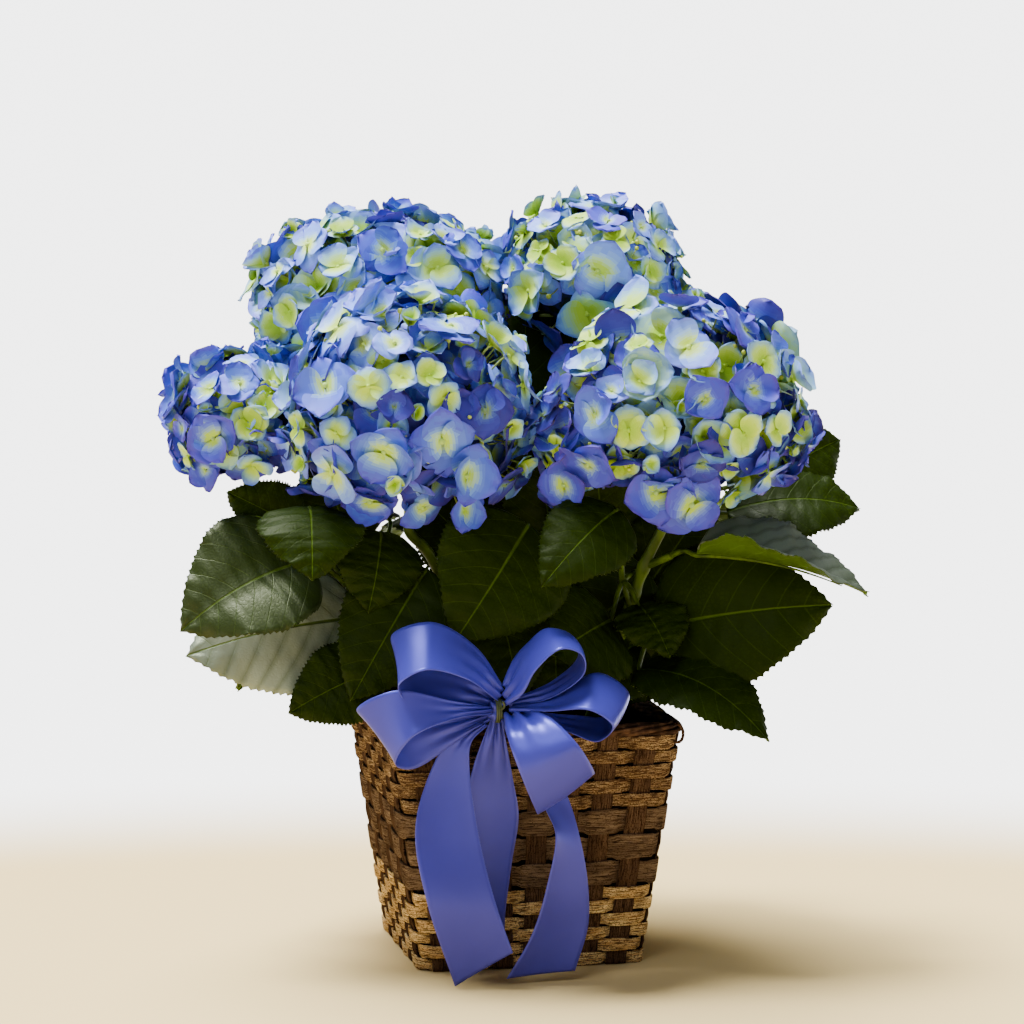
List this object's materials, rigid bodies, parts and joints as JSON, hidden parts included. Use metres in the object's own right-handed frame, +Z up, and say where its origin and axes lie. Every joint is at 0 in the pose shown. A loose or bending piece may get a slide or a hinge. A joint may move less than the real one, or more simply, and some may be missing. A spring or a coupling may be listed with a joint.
{
  "type": "potted hydrangea",
  "caption": "Mophead hydrangea with rounded blue and violet flower heads over broad leaves, growing in a square woven basket with a satin bow",
  "frame": {"origin": "centre of the basket's flat underside, on the floor", "axes": "+Z up, -Y the front with the bow, +X to the viewer's right"},
  "size_m": [0.406, 0.3116, 0.4268],
  "materials": {
    "basket_weave": "split bamboo weave in tan and dark brown strips, dry and slightly glossy",
    "rim_twigs": "twisted dark brown twigs, dull",
    "potting_mix": "loose dark bark fibre, matt",
    "satin_ribbon": "blue violet satin ribbon with a soft sheen",
    "wire_pick": "green coated wire",
    "green_stem": "fresh green stem, slightly waxy",
    "sepals_periwinkle": "soft matt petals, periwinkle blue with yellow green middles",
    "sepals_aqua": "soft matt petals, pale aqua with yellow green middles",
    "sepals_sky": "soft matt petals, sky blue with violet edges",
    "sepals_violet": "soft matt petals, violet blue with pale middles",
    "leaf": "dark green veined leaf with a waxy sheen"
  },
  "bodies": {
    "root": {"basket_wall": "basket_weave", "basket_rim": "rim_twigs", "potting_mix": "potting_mix", "bow_loops": "satin_ribbon", "bow_tail_left": "satin_ribbon", "bow_tail_middle": "satin_ribbon", "bow_tail_right": "satin_ribbon", "bow_pick": "wire_pick", "stem_back_left": "green_stem", "stem_back_right": "green_stem", "stem_far_left": "green_stem", "stem_front_centre": "green_stem", "stem_front_right": "green_stem", "head_back_left": "sepals_periwinkle", "head_back_right": "sepals_aqua", "head_far_left": "sepals_sky", "head_front_centre": "sepals_sky", "head_front_right": "sepals_violet", "leaves_left": "leaf", "leaves_front_left": "leaf", "leaves_front_centre": "leaf", "leaves_front_right": "leaf", "leaves_right": "leaf", "leaves_right_upper": "leaf", "leaves_right_back": "leaf", "leaves_inner_left": "leaf", "leaves_inner_right": "leaf", "leaves_collar_back_left": "leaf", "leaves_collar_back_right": "leaf", "leaves_back_right": "leaf", "leaves_back": "leaf", "leaves_back_left": "leaf"}
  },
  "joints": []
}
